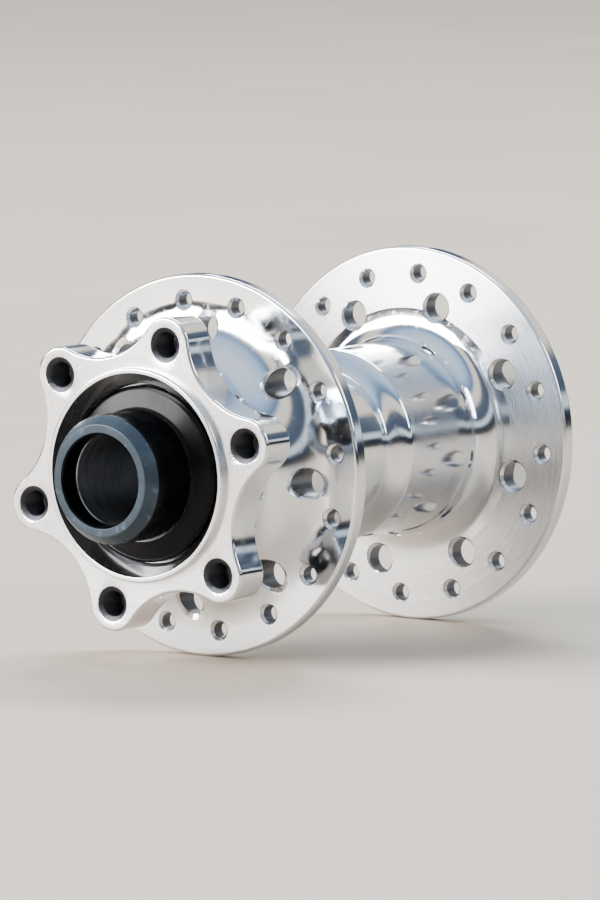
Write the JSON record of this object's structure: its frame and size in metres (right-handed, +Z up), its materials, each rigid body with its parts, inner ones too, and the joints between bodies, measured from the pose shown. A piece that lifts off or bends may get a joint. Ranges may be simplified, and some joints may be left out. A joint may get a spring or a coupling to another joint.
{
  "type": "bicycle hub",
  "caption": "Front bicycle hub for a thru-axle, with a six-bolt disc mount, drilled flanges, cartridge bearings and push-on end caps.",
  "frame": {"origin": "on the axle's centre line, midway between the two end faces", "axes": "+Y along the axle from the disc side to the other side, +Z up, +X square to both"},
  "size_m": [0.0624, 0.11, 0.0624],
  "materials": {
    "polished_shell": "polished",
    "axle_aluminium": "turned",
    "cap_anodised": "black anodised, satin",
    "bearing_steel": "ground",
    "ball_steel": "polished",
    "cage_nylon": "matt",
    "seal_rubber": "matt"
  },
  "bodies": {
    "axle": {"axle": "axle_aluminium", "left_bearing_inner_race": "bearing_steel", "right_bearing_inner_race": "bearing_steel"},
    "shell": {"hub_shell": "polished_shell", "left_bearing_outer_race": "bearing_steel", "left_bearing_outboard_seal": "seal_rubber", "left_bearing_inboard_seal": "seal_rubber", "right_bearing_outer_race": "bearing_steel", "right_bearing_outboard_seal": "seal_rubber", "right_bearing_inboard_seal": "seal_rubber"},
    "left_cage": {"left_ball_cage": "cage_nylon", "left_ball_01": "ball_steel", "left_ball_02": "ball_steel", "left_ball_03": "ball_steel", "left_ball_04": "ball_steel", "left_ball_05": "ball_steel", "left_ball_06": "ball_steel", "left_ball_07": "ball_steel", "left_ball_08": "ball_steel", "left_ball_09": "ball_steel", "left_ball_10": "ball_steel", "left_ball_11": "ball_steel", "left_ball_12": "ball_steel", "left_ball_13": "ball_steel"},
    "right_cage": {"right_ball_cage": "cage_nylon", "right_ball_01": "ball_steel", "right_ball_02": "ball_steel", "right_ball_03": "ball_steel", "right_ball_04": "ball_steel", "right_ball_05": "ball_steel", "right_ball_06": "ball_steel", "right_ball_07": "ball_steel", "right_ball_08": "ball_steel", "right_ball_09": "ball_steel", "right_ball_10": "ball_steel", "right_ball_11": "ball_steel", "right_ball_12": "ball_steel", "right_ball_13": "ball_steel"},
    "left_cap": {"left_end_cap": "cap_anodised", "left_cap_o_ring": "seal_rubber"},
    "right_cap": {"right_end_cap": "cap_anodised", "right_cap_o_ring": "seal_rubber"}
  },
  "joints": [
    {"name": "shell_spin", "type": "hinge", "parent": "axle", "child": "shell", "pos_m": [0, 0, 0], "axis": [0, 1, 0], "continuous": true},
    {"name": "left_cage_spin", "type": "hinge", "parent": "axle", "child": "left_cage", "pos_m": [0, -0.0375, 0], "axis": [0, 1, 0], "continuous": true},
    {"name": "right_cage_spin", "type": "hinge", "parent": "axle", "child": "right_cage", "pos_m": [0, 0.0375, 0], "axis": [0, 1, 0], "continuous": true},
    {"name": "left_cap_pull", "type": "slide", "parent": "axle", "child": "left_cap", "axis": [0, -1, 0], "range_m": [0, 0.02]},
    {"name": "right_cap_pull", "type": "slide", "parent": "axle", "child": "right_cap", "axis": [0, 1, 0], "range_m": [0, 0.02]}
  ],
  "couplings": [
    {"joint": "left_cage_spin", "follows": "shell_spin", "ratio": 0.56667},
    {"joint": "right_cage_spin", "follows": "shell_spin", "ratio": 0.56667}
  ]
}
